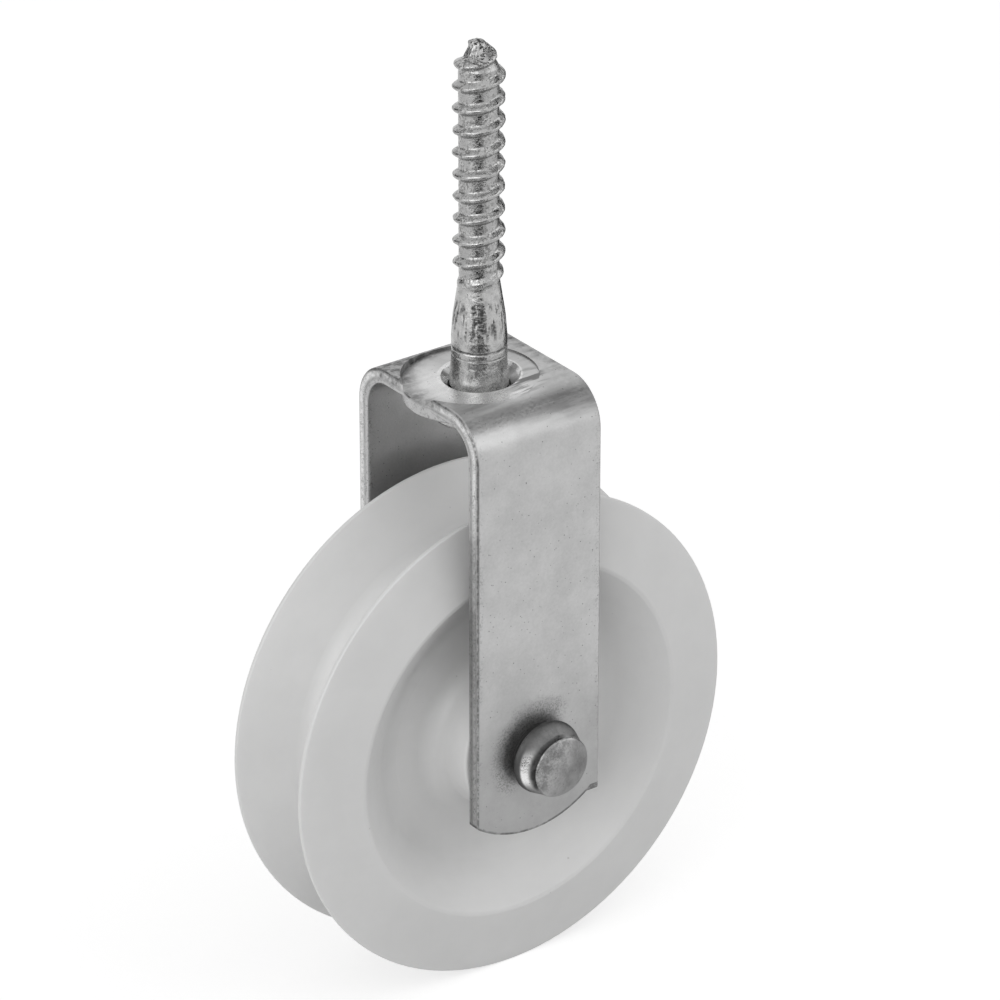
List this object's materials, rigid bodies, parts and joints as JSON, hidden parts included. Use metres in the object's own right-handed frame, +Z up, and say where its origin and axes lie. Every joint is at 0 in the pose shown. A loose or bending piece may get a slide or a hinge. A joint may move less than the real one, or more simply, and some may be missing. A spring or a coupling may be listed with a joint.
{
  "type": "swivel pulley",
  "caption": "Plastic V-groove pulley wheel on a riveted axle in a bent zinc-plated steel fork that swivels on a coarse wood screw.",
  "frame": {"origin": "on the screw's axis, in the plane of the fork's top face, where the screw enters the beam", "axes": "+Z up the screw, Y along the wheel's axle, X the way the rope runs over the wheel"},
  "size_m": [0.06, 0.0292, 0.1147],
  "materials": {
    "wheel_plastic": "moulded, milky and slightly translucent",
    "strap_zinc": "zinc-plated sheet, mottled and finely pitted",
    "rivet_zinc": "zinc-plated, hammered head",
    "screw_zinc": "zinc-plated, grainy, with grip marks on the shank"
  },
  "bodies": {
    "screw": {"wood_screw": "screw_zinc"},
    "fork": {"fork_strap": "strap_zinc", "axle_rivet": "rivet_zinc"},
    "wheel": {"pulley_wheel": "wheel_plastic"}
  },
  "joints": [
    {"name": "fork_swivel", "type": "hinge", "parent": "screw", "child": "fork", "pos_m": [0, 0, -0.0016], "axis": [0, 0, 1], "continuous": true},
    {"name": "wheel_spin", "type": "hinge", "parent": "fork", "child": "wheel", "pos_m": [0, 0, -0.0442], "axis": [0, 1, 0], "continuous": true}
  ]
}
